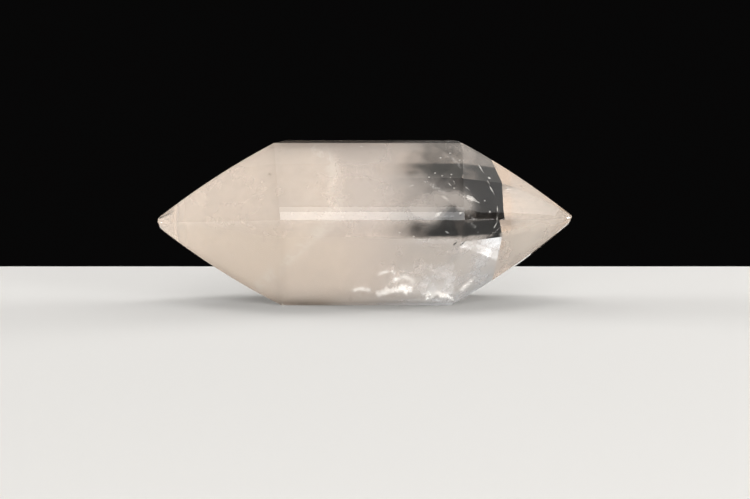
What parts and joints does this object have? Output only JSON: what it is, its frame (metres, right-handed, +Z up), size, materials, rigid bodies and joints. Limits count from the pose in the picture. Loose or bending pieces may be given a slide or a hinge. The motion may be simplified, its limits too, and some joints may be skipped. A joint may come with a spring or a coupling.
{
  "type": "double terminated quartz crystal",
  "caption": "Polished quartz crystal, a hexagonal prism with a faceted point at each end, milky at one end and clear at the other, lying on a prism face.",
  "frame": {"origin": "on the surface it rests on, under the middle of the crystal's box", "axes": "+X along the crystal towards its clear end, +Z up from the resting prism face to the opposite one, the edge that faces the viewer towards -Y"},
  "size_m": [0.11, 0.0476, 0.042],
  "materials": {
    "milky_quartz": "polished faces, see-through at the clear end, cloudy white towards the other"
  },
  "bodies": {
    "root": {"quartz_crystal": "milky_quartz"}
  },
  "joints": []
}
